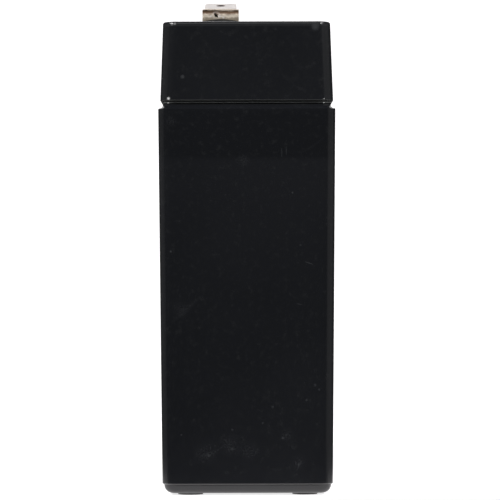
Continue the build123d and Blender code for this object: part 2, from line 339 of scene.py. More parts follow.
# The other marks are x, z and a radius.
face_smudges = [
    (-8.2, 8.4, 3.4),
    (-3.6, 10.0, 3.2),
    (0.2, 8.8, 2.6),
    (7.9, 11.9, 2.0),
    (10.2, 6.6, 2.0),
    (-15.0, 74.2, 1.6),
    (-0.6, 66.4, 1.8),
    (-13.2, 37.0, 2.4),
]
face_spots = [
    (9.0, 60.0, 0.30),
    (10.6, 49.6, 0.25),
    (-15.1, 48.4, 0.35),
    (13.4, 21.9, 0.40),
    (14.2, 21.0, 0.30),
    (11.7, 18.9, 0.35),
    (5.0, 17.6, 0.35),
    (3.0, 14.4, 0.30),
    (-13.1, 12.1, 0.25),
    (-3.0, 13.1, 0.30),
    (-7.7, 8.0, 0.40),
    (-3.1, 9.3, 0.30),
    (7.0, 11.4, 0.35),
    (10.1, 6.1, 0.30),
    # The last two are wider, soft lighter spots on the cover's face.
    (-12.7, 83.0, 0.6),
    (13.6, 92.9, 1.20),
]
# Painted glints at the cover's lower corners, then painted highlights on its upper corners.
glints = [(-15.5, 78.7, 0.42), (-15.6, 77.8, 0.24), (15.3, 77.8, 0.24), (15.3, 78.6, 0.16)]
painted_corner_highlights = [(-14.78, 93.52, 0.46), (-14.2, 93.5, 0.36), (14.87, 93.5, 0.22)]
print("marks on the end face:", len(face_scratches), "scratches,", len(face_spots), "spots")

# %% How strong the smudges are and how far back the marks reach
smudge_grain = 3200.0
smudge_strength = 0.55
face_depth = mm(3)
print("marks reach", round(1000 * face_depth, 1), "mm back from the end face")


# %% The marks as masks
def add_spots(tree, flat, spots, total=0.0):
    """Soft round spots, added to what is there already."""
    for x, z, radius in spots:
        distance = vector_value(tree, "DISTANCE", flat, (mm(x), 0, mm(z)))
        spot = ramp_between(tree, distance, mm(radius), 0.0)
        total = math_node(tree, "ADD", spot, total, clamp=True)
    return total


def add_face_marks(tree, position):
    """Three masks: scratches, smudges and spots as faint marks, then the painted glints, then the
    painted highlights on the cover's upper corners.

    Depth is left out of the distances, because the end face leans.
    """
    flat = keep_axes(tree, position, (1, 0, 1))
    total = 0.0
    for x0, z0, x1, z1, width, strength in face_scratches:
        ends = {"From": (mm(x0), 0, mm(z0)), "To": (mm(x1), 0, mm(z1))}
        mask = use_group(tree, scratch, Position=flat, Width=mm(width), **ends)["Mask"]
        total = math_node(tree, "MULTIPLY_ADD", mask, strength, total, clamp=True)
    grain = ramp_between(tree, noise(tree, flat, smudge_grain, 4.0), 0.36, 0.74)
    smudges = times(tree, add_spots(tree, flat, face_smudges), grain)
    total = math_node(tree, "MULTIPLY_ADD", smudges, smudge_strength, total, clamp=True)
    faint = add_spots(tree, flat, face_spots, total)
    bright = add_spots(tree, flat, glints)
    corner_highlight_mask = add_spots(tree, flat, painted_corner_highlights)
    at_end = math_node(tree, "LESS_THAN", one_axis(tree, position, "Y"), end_face + face_depth)
    return [times(tree, mask, at_end) for mask in (faint, bright, corner_highlight_mask)]


print("the marks can be added to a finish")

# %% [markdown]
# ## The case: satin black ABS
#
# Both mouldings are black plastic with a satin sheen. In the photograph the end face is almost
# one tone, a little bluish, with a faint film of dust. A band under the shoulder is a little
# darker, and it is painted there as painted shade. Light that the edges catch is painted too:
# painted highlights on the lip of the joint, on the slope over it, on the plinth's step and just
# under the cover's top edge, and a painted reflection of the floor round the feet. Each of these
# sits at a known height, so bands of height mask them, and one list of layers puts them over the
# black in order.


# %% Start a material
def new_material(name):
    """The material of a record slot or a new one, emptied, with its shader and coordinates."""
    material = bpy.data.materials.get(name) or bpy.data.materials.new(name)
    material.use_nodes = True
    tree = material.node_tree
    tree.nodes.clear()
    shader = tree.nodes.new("ShaderNodeBsdfPrincipled")
    output = tree.nodes.new("ShaderNodeOutputMaterial")
    tree.links.new(shader.outputs[0], output.inputs["Surface"])
    position = tree.nodes.new("ShaderNodeTexCoord").outputs["Object"]
    return material, tree, shader, position


def set_bump(tree, shader, height, strength, depth):
    inputs = {"Height": height, "Strength": strength, "Distance": depth}
    bump = add(tree, "ShaderNodeBump", inputs)
    tree.links.new(bump.outputs["Normal"], shader.inputs["Normal"])


print("materials can be started")

# %% Heights of the case's bands
neck_height = mm(0.8)
shoulder_level = seam_level - neck_height
# A darker band of painted shade under the shoulder.
shoulder_shade_levels = (shoulder_level - mm(10), shoulder_level - mm(0.2))
# Painted highlights on the lip and the slope of the joint.
lip_levels = (seam_level + mm(0.24), seam_level + mm(0.4))
slope_levels = (seam_level + mm(0.4), seam_level + mm(0.8))
# A band of painted highlight just under the cover's top edge.
top_edge_highlight_levels = (top_level - mm(0.9), top_level - mm(0.6))
# A line of painted highlight on the plinth's step.
step_levels = (mm(2.12), mm(2.26))
# Painted reflection of the floor on the feet.
foot_levels = (mm(0.42), mm(0.36))
print("shoulder at", round(1000 * shoulder_level, 2), "mm")


# %% A band between two heights
def band_between(tree, height, levels, softness=mm(0.06)):
    low, high = levels
    rise = ramp_between(tree, height, low - softness, low + softness)
    fall = ramp_between(tree, height, high + softness, high - softness)
    return times(tree, rise, fall)


print("bands can be masked")

# %% The case's tones
skin_dark = (0.0068, 0.0074, 0.0091, 1)
skin_light = (0.0094, 0.0100, 0.0121, 1)
# Painted shade for the band under the shoulder.
painted_shade_under_shoulder = (0.0060, 0.0066, 0.0082, 1)
# Painted highlights on the lip and the slope of the joint.
painted_lip_highlight = (0.14, 0.145, 0.142, 1)
painted_slope_highlight = (0.09, 0.092, 0.09, 1)
# Painted highlight on the plinth's step.
painted_step_highlight = (0.085, 0.085, 0.085, 1)
# Painted reflection of the floor on the feet.
painted_plinth_foot_reflection = (0.26, 0.25, 0.25, 1)
film_grey = (0.024, 0.025, 0.026, 1)
mark_grey = (0.036, 0.038, 0.042, 1)
speck_grey = (0.06, 0.06, 0.06, 1)
# Painted highlight just under the cover's top edge.
painted_top_edge_highlight = (0.034, 0.035, 0.036, 1)
# Painted highlights on the cover's upper corners, and painted glints at its lower corners.
painted_corner_highlight_grey = (0.5, 0.5, 0.5, 1)
glint_white = (0.75, 0.75, 0.75, 1)
print("the black lies between", skin_dark[:3], "and", skin_light[:3])


# %% The case's layers
def case_layers(tree, position, marks, bright, corner_highlight_mask):
    """What lies on the black, from the lowest layer to the top one."""
    height = one_axis(tree, position, "Z")
    dust = use_group(tree, specks, Position=position, Scale=170.0, Size=0.07, Share=0.09)["Mask"]
    film = ramp_between(tree, noise(tree, position, 850.0, 5.0, roughness=0.7), 0.5, 0.78)
    return [
        # painted shade under the shoulder
        (band_between(tree, height, shoulder_shade_levels, mm(0.8)), 1.0, painted_shade_under_shoulder),
        # painted highlights on the lip and the slope of the joint
        (band_between(tree, height, lip_levels), 1.0, painted_lip_highlight),
        (band_between(tree, height, slope_levels), 1.0, painted_slope_highlight),
        (film, 0.45, film_grey),
        (marks, 0.6, mark_grey),
        (dust, 0.5, speck_grey),
        # painted highlight just under the cover's top edge
        (band_between(tree, height, top_edge_highlight_levels, mm(0.2)), 0.5, painted_top_edge_highlight),
        # painted highlight on the plinth's step
        (band_between(tree, height, step_levels), 1.0, painted_step_highlight),
        # painted reflection of the floor on the feet
        (ramp_between(tree, height, *foot_levels), 1.0, painted_plinth_foot_reflection),
        # painted highlights on the upper corners, then painted glints on the lower ones
        (corner_highlight_mask, 0.45, painted_corner_highlight_grey),
        (bright, 1.0, glint_white),
    ]


print("the case's layers are ready")


# %% Black ABS
def make_case_black():
    material, tree, shader, position = new_material("case_black")
    hair = {"Scale": 26.0, "Thinness": 0.006, "Amount": 0.42}
    lines = use_group(tree, hairlines, Position=position, **hair)["Mask"]
    faint, bright, corner_highlight_mask = add_face_marks(tree, position)
    marks = math_node(tree, "ADD", faint, times(tree, lines, 0.1), clamp=True)
    haze = noise(tree, position, 24.0, 4.0)
    skin_tone = mix_colour(tree, ramp_between(tree, haze, 0.3, 0.7), skin_dark, skin_light)
    colour = lay_over(tree, skin_tone, case_layers(tree, position, marks, bright, corner_highlight_mask))
    tree.links.new(colour, shader.inputs["Base Color"])
    rough = math_node(tree, "MULTIPLY_ADD", haze, 0.08, 0.17)
    rough = math_node(tree, "MULTIPLY_ADD", marks, 0.25, rough, clamp=True)
    tree.links.new(rough, shader.inputs["Roughness"])
    shader.inputs["IOR"].default_value = 1.5
    scales = {"Wave_Scale": 70.0, "Grain_Scale": 5200.0}
    skin = use_group(tree, moulded_skin, Position=position, **scales)["Height"]
    set_bump(tree, shader, skin, 0.25, mm(0.02))
    return material


case_black = make_case_black()
print("finish:", case_black.name)

# %% [markdown]
# ## The tabs: tin on brass
#
# The tab is folded from brass and plated with tin. The photograph shows its blade bright, its
# upright part brown with tarnish, and a dark nick that a tool struck. Light and shade are painted
# on
# it too: painted shade across the bend, a lighter band of painted highlight, a painted reflection
# of the black cover that darkens its foot, painted highlights on the small burrs round the nick and
# painted shade in and round the hole. Height decides where each tone is, and noise breaks its edge.
# A list of layers puts them over the tin, as on the case. Both tabs share the finish, and only the
# one at the near end has the nick.


# %% Where the tab's tones change
def above_cover(low, high):
    return (top_level + mm(low), top_level + mm(high))


# The painted shade across the bend lies between these heights.
bend_starts = above_cover(1.5, 2.2)
bend_ends = above_cover(2.8, 2.45)
# Below these heights the riser's foot is darkened by a painted reflection of the black cover.
foot_starts = above_cover(1.45, 0.85)
blade_starts = above_cover(2.85, 3.25)
# A band of painted highlight on the riser.
tin_highlight_levels = above_cover(1.3, 1.8)
edge_wander = mm(0.9)
print("the bend's band starts at", [round(1000 * z, 2) for z in bend_starts])

# %% Where the hole, the nick and the burrs are
hole_radius = mm(0.75)
hole_from_tip = mm(2.83)
hole_place = (seal_centre.x, abs(tab_high.y) + hole_from_tip, 0.0)
nick_from = (seal_centre.x - mm(1.23), 0.0, top_level + mm(1.88))
nick_to = (seal_centre.x - mm(0.60), 0.0, top_level + mm(1.33))
nick_width = mm(0.65)
riser_depth = mm(0.7)
# Places of the burrs, which get painted highlights.
burrs = [(-5.45, 95.46, 0.5), (-4.65, 95.22, 0.36), (-7.15, 95.45, 0.3)]
print("hole at", [round(1000 * v, 2) for v in hole_place[:2]], "nick at", nick_from)

# %% The tab's tones
tin_dark = (0.50, 0.41, 0.32, 1)
tin_light = (0.95, 0.85, 0.73, 1)
# Painted highlight band on the riser.
painted_tin_highlight = (1.0, 0.90, 0.76, 1)
# Painted shade across the bend.
painted_bend_shade = (0.15, 0.095, 0.062, 1)
# Painted reflection of the black cover on the riser's foot.
painted_riser_foot_reflection = (0.30, 0.26, 0.19, 1)
blade_tin = (0.65, 0.615, 0.595, 1)
# Painted highlights on the burrs.
painted_burr_highlight = (0.95, 0.90, 0.88, 1)
nick_black = (0.01, 0.008, 0.006, 1)
# Painted shade in and round the hole.
painted_hole_shade = (0.11, 0.048, 0.034, 1)
print("the tin lies between", tin_dark[:3], "and", tin_light[:3])


# %% The nick with its burrs, and the hole
def mask_burr_highlights(tree, flat):
    """Painted highlights on small burrs, and a weak ring of painted highlight round the nick where
    the tin was pushed up.
    """
    middle = (Vector(nick_from) + Vector(nick_to)) / 2
    inner, crest, outer = mm(0.35), mm(0.7), mm(1.05)
    away = vector_value(tree, "DISTANCE", flat, middle)
    rise = ramp_between(tree, away, inner, crest)
    fall = ramp_between(tree, away, outer, crest)
    ring = times(tree, times(tree, rise, fall), 0.2)
    return math_node(tree, "MAXIMUM", ring, add_spots(tree, flat, burrs))


def mask_nick(tree, flat, position):
    """The nick's dark streak, only on the riser of the tab at the near end."""
    ends = {"From": nick_from, "To": nick_to}
    streak = use_group(tree, scratch, Position=flat, Width=nick_width, **ends)["Mask"]
    strong = math_node(tree, "MULTIPLY", streak, 1.6, clamp=True)
    depth = one_axis(tree, position, "Y")
    near_end = math_node(tree, "LESS_THAN", depth, tab_low.y + riser_depth)
    return times(tree, strong, near_end)


def mask_hole(tree, position):
    """Painted shade on the hole's wall and round its rim, at both ends at once: Y counts without
    its sign.
    """
    along = keep_axes(tree, vector_math(tree, "ABSOLUTE", position), (0, 1, 0))
    across = keep_axes(tree, position, (1, 0, 0))
    away = vector_value(tree, "DISTANCE", vector_math(tree, "ADD", along, across), hole_place)
    return ramp_between(tree, away, hole_radius + mm(0.3), hole_radius + mm(0.05))


print("nick, burrs and hole can be masked")


# %% The tab's layers
def tab_layers(tree, position, blotches):
    """What lies on the tin, from the lowest layer to the top one."""
    wander = times(tree, math_node(tree, "SUBTRACT", blotches, 0.5), edge_wander)
    level = math_node(tree, "ADD", one_axis(tree, position, "Z"), wander)
    over_bend = ramp_between(tree, level, *bend_starts)
    under_blade = ramp_between(tree, level, *bend_ends)
    flat = keep_axes(tree, position, (1, 0, 1))
    return [
        # painted highlight band on the riser
        (band_between(tree, level, tin_highlight_levels, mm(0.15)), 0.95, painted_tin_highlight),
        # painted shade across the bend
        (times(tree, over_bend, under_blade), 1.0, painted_bend_shade),
        # painted reflection of the black cover on the riser's foot
        (ramp_between(tree, level, *foot_starts), 0.7, painted_riser_foot_reflection),
        (ramp_between(tree, level, *blade_starts), 1.0, blade_tin),
        # painted highlights on the burrs round the nick
        (mask_burr_highlights(tree, flat), 1.0, painted_burr_highlight),
        (mask_nick(tree, flat, position), 1.0, nick_black),
        # painted shade in and round the hole
        (mask_hole(tree, position), 1.0, painted_hole_shade),
    ]


print("the tab's layers are ready")


# %% Tinned brass
def make_tab_tin():
    material, tree, shader, position = new_material("tab_tin")
    blotches = noise(tree, position, 700.0, 5.0, roughness=0.62)
    tin = mix_colour(tree, blotches, tin_dark, tin_light)
    colour = lay_over(tree, tin, tab_layers(tree, position, blotches))
    tree.links.new(colour, shader.inputs["Base Color"])
    shader.inputs["Metallic"].default_value = 1.0
    rough = math_node(tree, "MULTIPLY_ADD", blotches, 0.3, 0.36)
    tree.links.new(rough, shader.inputs["Roughness"])
    hair = {"Scale": 900.0, "Thinness": 0.03, "Amount": 0.4}
    lines = use_group(tree, hairlines, Position=position, **hair)["Mask"]
    scales = {"Wave_Scale": 900.0, "Grain_Scale": 9000.0}
    skin = use_group(tree, moulded_skin, Position=position, **scales)["Height"]
    scratched = math_node(tree, "MULTIPLY_ADD", lines, -0.12, skin)
    set_bump(tree, shader, scratched, 0.3, mm(0.02))
    return material


print("finish:", make_tab_tin().name)

# %% [markdown]
# ## Resin, rubber, lead, paste and glass mat
#
# The wells round the tabs are filled with epoxy. At the terminal in view it is black and dull, as
# if dusted over. At the other one it is red and glossy, as is usual on such batteries. One recipe
# makes both from a deep and a light tone. The remaining finishes are inside the case. They are
# seen only when the model is opened, so each has the plain character of its stuff: dull cast lead,
# grey and brown paste, white fibres.


# %% Cast resin
def make_resin(name, deep, light, roughness, shine):
    material, tree, shader, position = new_material(name)
    cloud = noise(tree, position, 420.0, 2.0)
    tree.links.new(mix_colour(tree, cloud, deep, light), shader.inputs["Base Color"])
    dust = use_group(tree, specks, Position=position, Scale=900.0, Size=0.12, Share=0.12)["Mask"]
    rough = math_node(tree, "MULTIPLY_ADD", dust, 0.4, roughness)
    tree.links.new(rough, shader.inputs["Roughness"])
    shader.inputs["IOR"].default_value = 1.55
    shader.inputs["Specular IOR Level"].default_value = shine
    set_bump(tree, shader, cloud, 0.3, mm(0.05))
    return material


black_deep, black_light = (0.004, 0.0042, 0.0045, 1), (0.011, 0.0112, 0.012, 1)
red_deep, red_light = (0.26, 0.010, 0.008, 1), (0.40, 0.022, 0.016, 1)
resin_black = make_resin("resin_black", black_deep, black_light, roughness=0.6, shine=0.03)
resin_red = make_resin("resin_red", red_deep, red_light, roughness=0.12, shine=0.5)
print("finishes:", resin_black.name, resin_red.name)


# %% A recipe for matt stuffs
def make_matt(name, dark, light, scale, roughness, depth, metallic=0.0, shine=0.5):
    """Dark and light grains of one size; depth is how far the grain stands out."""
    material, tree, shader, position = new_material(name)
    grain = noise(tree, position, scale, 6.0, roughness=0.6)
    tone = mix_colour(tree, ramp_between(tree, grain, 0.3, 0.7), dark, light)
    tree.links.new(tone, shader.inputs["Base Color"])
    rough = math_node(tree, "MULTIPLY_ADD", grain, 0.2, roughness - 0.1)
    tree.links.new(rough, shader.inputs["Roughness"])
    shader.inputs["Metallic"].default_value = metallic
    shader.inputs["Specular IOR Level"].default_value = shine
    set_bump(tree, shader, grain, 0.6, depth)
    return material


def grey(level):
    return (level, level, level, 1)


print("matt stuffs can be made")

# %% Matt stuffs inside the case
lead_dark, lead_light = (0.16, 0.165, 0.18, 1), (0.30, 0.305, 0.32, 1)
sponge_dark, sponge_light = (0.15, 0.155, 0.16, 1), (0.25, 0.255, 0.26, 1)
paste_dark, paste_light = (0.07, 0.030, 0.016, 1), (0.16, 0.075, 0.042, 1)
mat_dark, mat_light = (0.74, 0.74, 0.72, 1), (0.88, 0.88, 0.86, 1)
make_matt("rubber_black", grey(0.014), grey(0.026), 800.0, 0.7, mm(0.03))
make_matt("lead_cast", lead_dark, lead_light, 500.0, 0.55, mm(0.06), metallic=0.8)
make_matt("plate_negative", sponge_dark, sponge_light, 1400.0, 0.85, mm(0.08))
make_matt("plate_positive", paste_dark, paste_light, 1400.0, 0.85, mm(0.08))
make_matt("glass_mat", mat_dark, mat_light, 2600.0, 0.95, mm(0.1))
print("finishes:", sorted(m.name for m in bpy.data.materials if m.users))

# %% Give every solid its slot's finish
slot_of = {part["node"]: part["material_slot"] for part in frame["record"]["subparts"]}
for name, solid in nodes.items():
    solid.data.materials.clear()
    solid.data.materials.append(bpy.data.materials[slot_of[name]])
print("solids with a finish:", len(nodes))

# %% [markdown]
# ## The resin domes
#
# Epoxy poured round a tab finds its own shape: it domes a little over the brim of the well and
# creeps up the metal that it wets. The solids have that dome in three flat steps. A grid of rings
# and spokes whose height follows a formula is simpler than sculpting, and it stays smooth.

# %% The resin's height at a point
dome_height = seal_high.z - top_level
creep_height = mm(0.10)
creep_reach = mm(0.45)
tab_thickness = mm(0.8)
riser_half_width = (tab_high.x - tab_low.x) / 2
riser_half_depth = tab_thickness / 2


def resin_height(x, y):
    """Height over the cover at a place measured from the terminal's middle."""
    share = math.hypot(x, y) / seal_radius
    dome = (dome_height - creep_height) * (1 - share**2)
    gap = math.hypot(max(abs(x) - riser_half_width, 0), max(abs(y) - riser_half_depth, 0))
    rim = min(1, 4 * (1 - share))
    return dome + creep_height * rim * math.exp(-((gap / creep_reach) ** 2))


print("resin over the brim, in mm:", round(1000 * resin_height(0, -riser_half_depth), 3))

# %% Rings and spokes
dome_rings = 20
dome_spokes = 72


def make_dome_mesh(name, centre):
    """A closed plug: the wetted dome, the well's wall and a flat bottom."""
    points = [(0, 0, resin_height(0, 0))]
    for ring in range(1, dome_rings + 1):
        r = seal_radius * ring / dome_rings
        for spoke in range(dome_spokes):
            turn = 2 * math.pi * spoke / dome_spokes
            x, y = r * math.cos(turn), r * math.sin(turn)
            points.append((x, y, resin_height(x, y)))
    depth = seal_low.z - top_level
    brim = points[-dome_spokes:]
    points += [(x, y, depth) for x, y, z in brim]
    faces = [(0, 1 + s, 1 + (s + 1) % dome_spokes) for s in range(dome_spokes)]
    for ring in range(dome_rings):
        low = 1 + ring * dome_spokes
        high = low + dome_spokes
        for s in range(dome_spokes):
            after = (s + 1) % dome_spokes
            faces.append((low + s, high + s, high + after, low + after))
    faces.append(tuple(range(len(points) - 1, len(points) - dome_spokes - 1, -1)))
    mesh = bpy.data.meshes.new(name)
    mesh.from_pydata(points, [], faces)
    mesh.transform(Matrix.Translation(centre))
    mesh.shade_smooth()
    return mesh


print("a dome has", dome_rings, "rings of", dome_spokes, "points")


# %% A slot for the tab, cut by a Boolean
def cut_slot(plug, centre):
    """Takes the riser's room out of the plug, a hair inside the metal."""
    slack = mm(0.02)
    block_half_height = mm(4)
    size = (riser_half_width - slack, riser_half_depth - slack, block_half_height)
    corners = [(x, y, z) for x in (-1, 1) for y in (-1, 1) for z in (-1, 1)]
    points = [Vector(a * b for a, b in zip(corner, size)) + centre for corner in corners]
    sides = [(0, 1, 3, 2), (4, 6, 7, 5), (0, 4, 5, 1), (2, 3, 7, 6), (0, 2, 6, 4), (1, 5, 7, 3)]
    mesh = bpy.data.meshes.new("slot_block")
    mesh.from_pydata(points, [], sides)
    block = bpy.data.objects.new("slot_block", mesh)
    bpy.context.scene.collection.objects.link(block)
    modifier = plug.modifiers.new("slot", "BOOLEAN")
    modifier.operation = "DIFFERENCE"
    modifier.object = block
    settled = plug.evaluated_get(bpy.context.evaluated_depsgraph_get())
    cut = bpy.data.meshes.new_from_object(settled)
    plug.modifiers.remove(modifier)
    plug.data = cut
    bpy.data.objects.remove(block)


print("a slot can be cut")


# %% The two domes
def place_dome(side, material):
    low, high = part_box(f"terminal_seal_{side}")
    centre = Vector(((low.x + high.x) / 2, (low.y + high.y) / 2, top_level))
    mesh = make_dome_mesh(f"resin_dome_{side}", centre)
    plug = bpy.data.objects.new(f"resin_dome_{side}", mesh)
    bpy.context.scene.collection.objects.link(plug)
    cut_slot(plug, centre)
    plug.data.materials.clear()
    plug.data.materials.append(material)
    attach(plug, "root")
    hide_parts(f"terminal_seal_{side}")
    return plug


for side, material in (("negative", resin_black), ("positive", resin_red)):
    plug = place_dome(side, material)
    print(plug.name, "faces:", len(plug.data.polygons))

# %% [markdown]
# ## Geometry Nodes for what follows a path
#
# The cement that joins cover and container squeezes out a little, all the way round. That is a
# thin bead on a closed path with a radius that wanders, which is just what a node tree does well:
# a rounded rectangle, resampled, with noise on its radius, swept by a small circle.


# %% Helpers for geometry trees
def new_geometry_tree(name, inputs):
    """An empty tree. Inputs are name: (kind of socket, value), and None leaves it unset."""
    tree = bpy.data.node_groups.new(name, "GeometryNodeTree")
    tree.interface.new_socket("Geometry", in_out="OUTPUT", socket_type="NodeSocketGeometry")
    for label, (kind, value) in inputs.items():
        socket = tree.interface.new_socket(label, in_out="INPUT", socket_type=kind)
        if value is not None:
            socket.default_value = value
    start = tree.nodes.new("NodeGroupInput").outputs
    end = tree.nodes.new("NodeGroupOutput").inputs
    return tree, start, end


def grow(name, tree, values):
    """Runs a tree with these inputs and keeps the result as a plain mesh piece."""
    piece = bpy.data.objects.new(name, bpy.data.meshes.new(name))
    bpy.context.scene.collection.objects.link(piece)
    modifier = piece.modifiers.new(name, "NODES")
    modifier.node_group = tree
    for item in tree.interface.items_tree:
        if item.in_out == "INPUT" and item.name in values:
            modifier[item.identifier] = values[item.name]
    settled = piece.evaluated_get(bpy.context.evaluated_depsgraph_get())
    piece.data = bpy.data.meshes.new_from_object(settled)
    piece.modifiers.remove(modifier)
    return piece


print("geometry trees can be built")


# %% Nodes that both trees use
def rounded_bar(tree, width, height, corner, steps):
    """A rectangle with round corners, as a closed curve."""
    sides = {"Width": width, "Height": height}
    outline = add(tree, "GeometryNodeCurvePrimitiveQuadrilateral", sides).outputs[0]
    fillet = {"Curve": outline, "Radius": corner, "Count": steps}
    return add(tree, "GeometryNodeFilletCurve", fillet, mode="POLY").outputs[0]


def shift(tree, geometry, offset):
    inputs = {"Geometry": geometry, "Translation": offset}
    return add(tree, "GeometryNodeTransform", inputs).outputs[0]


def coloured(tree, geometry, material):
    inputs = {"Geometry": geometry, "Material": material}
    return add(tree, "GeometryNodeSetMaterial", inputs).outputs[0]


print("outlines, moves and materials are one line each")

# %% The joint's outline
neck_inset = mm(0.9)
neck_corner = mm(2.4)
bead_level = seam_level + mm(0.1)
neck_width = (case_high.x - case_low.x) - 2 * neck_inset
neck_length = (case_high.y - case_low.y) - 2 * neck_inset
print("neck, in mm:", round(1000 * neck_width, 2), "by", round(1000 * neck_length, 2))


# %% The cement bead's tree
def build_cement_tree():
    number, material = "NodeSocketFloat", "NodeSocketMaterial"
    inputs = {
        "Width": (number, neck_width),
        "Length": (number, neck_length),
        "Corner": (number, neck_corner),
        "Level": (number, bead_level),
        "Bead Radius": (number, mm(0.08)),
        "Wander": (number, 0.6),
        "Material": (material, None),
    }
    tree, start, end = new_geometry_tree("cement_bead", inputs)
    outline = rounded_bar(tree, start["Width"], start["Length"], start["Corner"], 8)
    even = add(tree, "GeometryNodeResampleCurve", {"Curve": outline, "Count": 420})
    lift = add(tree, "ShaderNodeCombineXYZ", {"Z": start["Level"]})
    raised = shift(tree, even.outputs[0], lift.outputs[0])
    waves = add(tree, "ShaderNodeTexNoise", {"Scale": 160.0, "Detail": 2.0}).outputs["Fac"]
    around = math_node(tree, "SUBTRACT", waves, 0.5)
    drift = math_node(tree, "MULTIPLY_ADD", around, start["Wander"], 1.0)
    circle = {"Resolution": 8, "Radius": start["Bead Radius"]}
    profile = add(tree, "GeometryNodeCurvePrimitiveCircle", circle)
    sweep_inputs = {"Curve": raised, "Profile Curve": profile.outputs[0], "Scale": drift}
    swept = add(tree, "GeometryNodeCurveToMesh", sweep_inputs)
    real = add(tree, "GeometryNodeRealizeInstances", {"Geometry": swept.outputs[0]})
    shown = coloured(tree, real.outputs[0], start["Material"])
    tree.links.new(shown, end["Geometry"])
    return tree


cement_tree = build_cement_tree()
print("tree:", cement_tree.name, "nodes:", len(cement_tree.nodes))

# %% Cement and its finish
bead_tones = (grey(0.001), grey(0.002))
cement_black = make_matt("cement_black", *bead_tones, 900.0, 0.95, mm(0.01), shine=0.05)
bead_values = {"Material": cement_black, "Bead Radius": mm(0.085)}
cement_bead = grow("cement_bead", cement_tree, bead_values)
cement_bead.data.shade_smooth()
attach(cement_bead, "root")
print(cement_bead.name, "faces:", len(cement_bead.data.polygons))

# %% [markdown]
# ## Polarity signs
#
# Beside each terminal the cover carries its sign, raised by a quarter of a millimetre. A minus is
# one bar and a plus is two crossed bars, so one tree makes both: it turns a bar by a right angle as
# often as it is told.


# %% The sign's bars, laid crosswise
def crossed_bars(tree, start):
    """Flat bars on one middle, each turned a right angle further and a hair lower."""
    corner = times(tree, start["Bar Width"], 0.3)
    outline = rounded_bar(tree, start["Bar Length"], start["Bar Width"], corner, 4)
    flat = add(tree, "GeometryNodeFillCurve", {"Curve": outline}, mode="NGONS")
    stack = {"Count": start["Bars"], "Offset": (0, 0, -mm(0.02))}
    centre = add(tree, "GeometryNodeMeshLine", stack)
    index = tree.nodes.new("GeometryNodeInputIndex").outputs[0]
    turn = add(tree, "ShaderNodeCombineXYZ", {"Z": times(tree, index, math.pi / 2)})
    copies = {
        "Points": centre.outputs[0],
        "Instance": flat.outputs[0],
        "Rotation": turn.outputs[0],
    }
    bars = add(tree, "GeometryNodeInstanceOnPoints", copies)
    return add(tree, "GeometryNodeRealizeInstances", {"Geometry": bars.outputs[0]}).outputs[0]


print("bars can be crossed")


# %% The sign's tree
def build_sign_tree():
    number, whole = "NodeSocketFloat", "NodeSocketInt"
    inputs = {
        "Bars": (whole, 1),
        "Bar Length": (number, mm(4.0)),
        "Bar Width": (number, mm(0.9)),
        "Height": (number, mm(0.25)),
        "Place": ("NodeSocketVector", origin),
        "Material": ("NodeSocketMaterial", None),
    }
    tree, start, end = new_geometry_tree("polarity_sign", inputs)
    bars = crossed_bars(tree, start)
    up = add(tree, "ShaderNodeCombineXYZ", {"Z": start["Height"]}).outputs[0]
    lift = {"Mesh": bars, "Offset": up, "Offset Scale": 1.0, "Individual": False}
    solid = add(tree, "GeometryNodeExtrudeMesh", lift)
    bottom = add(tree, "GeometryNodeFlipFaces", {"Mesh": bars})
    closed = tree.nodes.new("GeometryNodeJoinGeometry")
    for part in (solid, bottom):
        tree.links.new(part.outputs[0], closed.inputs[0])
    weld = {"Geometry": closed.outputs[0], "Distance": mm(0.001)}
    welded = add(tree, "GeometryNodeMergeByDistance", weld)
    placed = shift(tree, welded.outputs[0], start["Place"])
    tree.links.new(coloured(tree, placed, start["Material"]), end["Geometry"])
    return tree


sign_tree = build_sign_tree()
print("tree:", sign_tree.name, "nodes:", len(sign_tree.nodes))

# %% One sign beside each terminal
sign_distance = mm(9.2)
for side, bars in (("negative", 1), ("positive", 2)):
    low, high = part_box(f"terminal_seal_{side}")
    place = (seal_centre.x + sign_distance, (low.y + high.y) / 2, top_level)
    sign = grow(f"sign_{side}", sign_tree, {"Bars": bars, "Place": place, "Material": case_black})
    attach(sign, "root")
    print(sign.name, "faces:", len(sign.data.polygons))

# %% [markdown]
# ## Floor and backdrop
#
# The photograph's ground is plain white with hardly a shadow. One sheet that curves up behind the
# object does that. It takes the light as paper does, and adds a little glow of its own for the
# camera and for reflections, so that it stays white while the contact shadow is kept. Black satin
# plastic mirrors everything, so what it may mirror is chosen. The sheet ends shortly before the
# end face, because a longer floor would turn that face grey. Only the wall high up, which the tabs
# mirror, and the floor close to the feet, which the plinth mirrors, glow in reflections. The rest
# of the floor lets mirrored rays through, and so the case keeps its dark lower edges.


# %% A sheet that curves up
def make_sweep(half_width, front, back, height, bend, steps=16):
    profile = [(front, 0.0), (back - bend, 0.0)]
    for step in range(1, steps + 1):
        turn = math.pi / 2 * step / steps
        profile.append((back - bend + bend * math.sin(turn), bend * (1 - math.cos(turn))))
    profile.append((back, height))
    points = [(x, y, z) for y, z in profile for x in (-half_width, half_width)]
    faces = [(2 * i, 2 * i + 1, 2 * i + 3, 2 * i + 2) for i in range(len(profile) - 1)]
    mesh = bpy.data.meshes.new("sweep")
    mesh.from_pydata(points, [], faces)
    mesh.shade_smooth()
    sweep = bpy.data.objects.new("sweep", mesh)
    bpy.context.scene.collection.objects.link(sweep)
    return sweep


print("the sheet can be made")

# %% What the sheet shows to mirrored rays
footprint = (case_high.x, case_high.y, 0.0)
wall_levels = (mm(20), mm(500))
near_distances = (mm(60), mm(12))


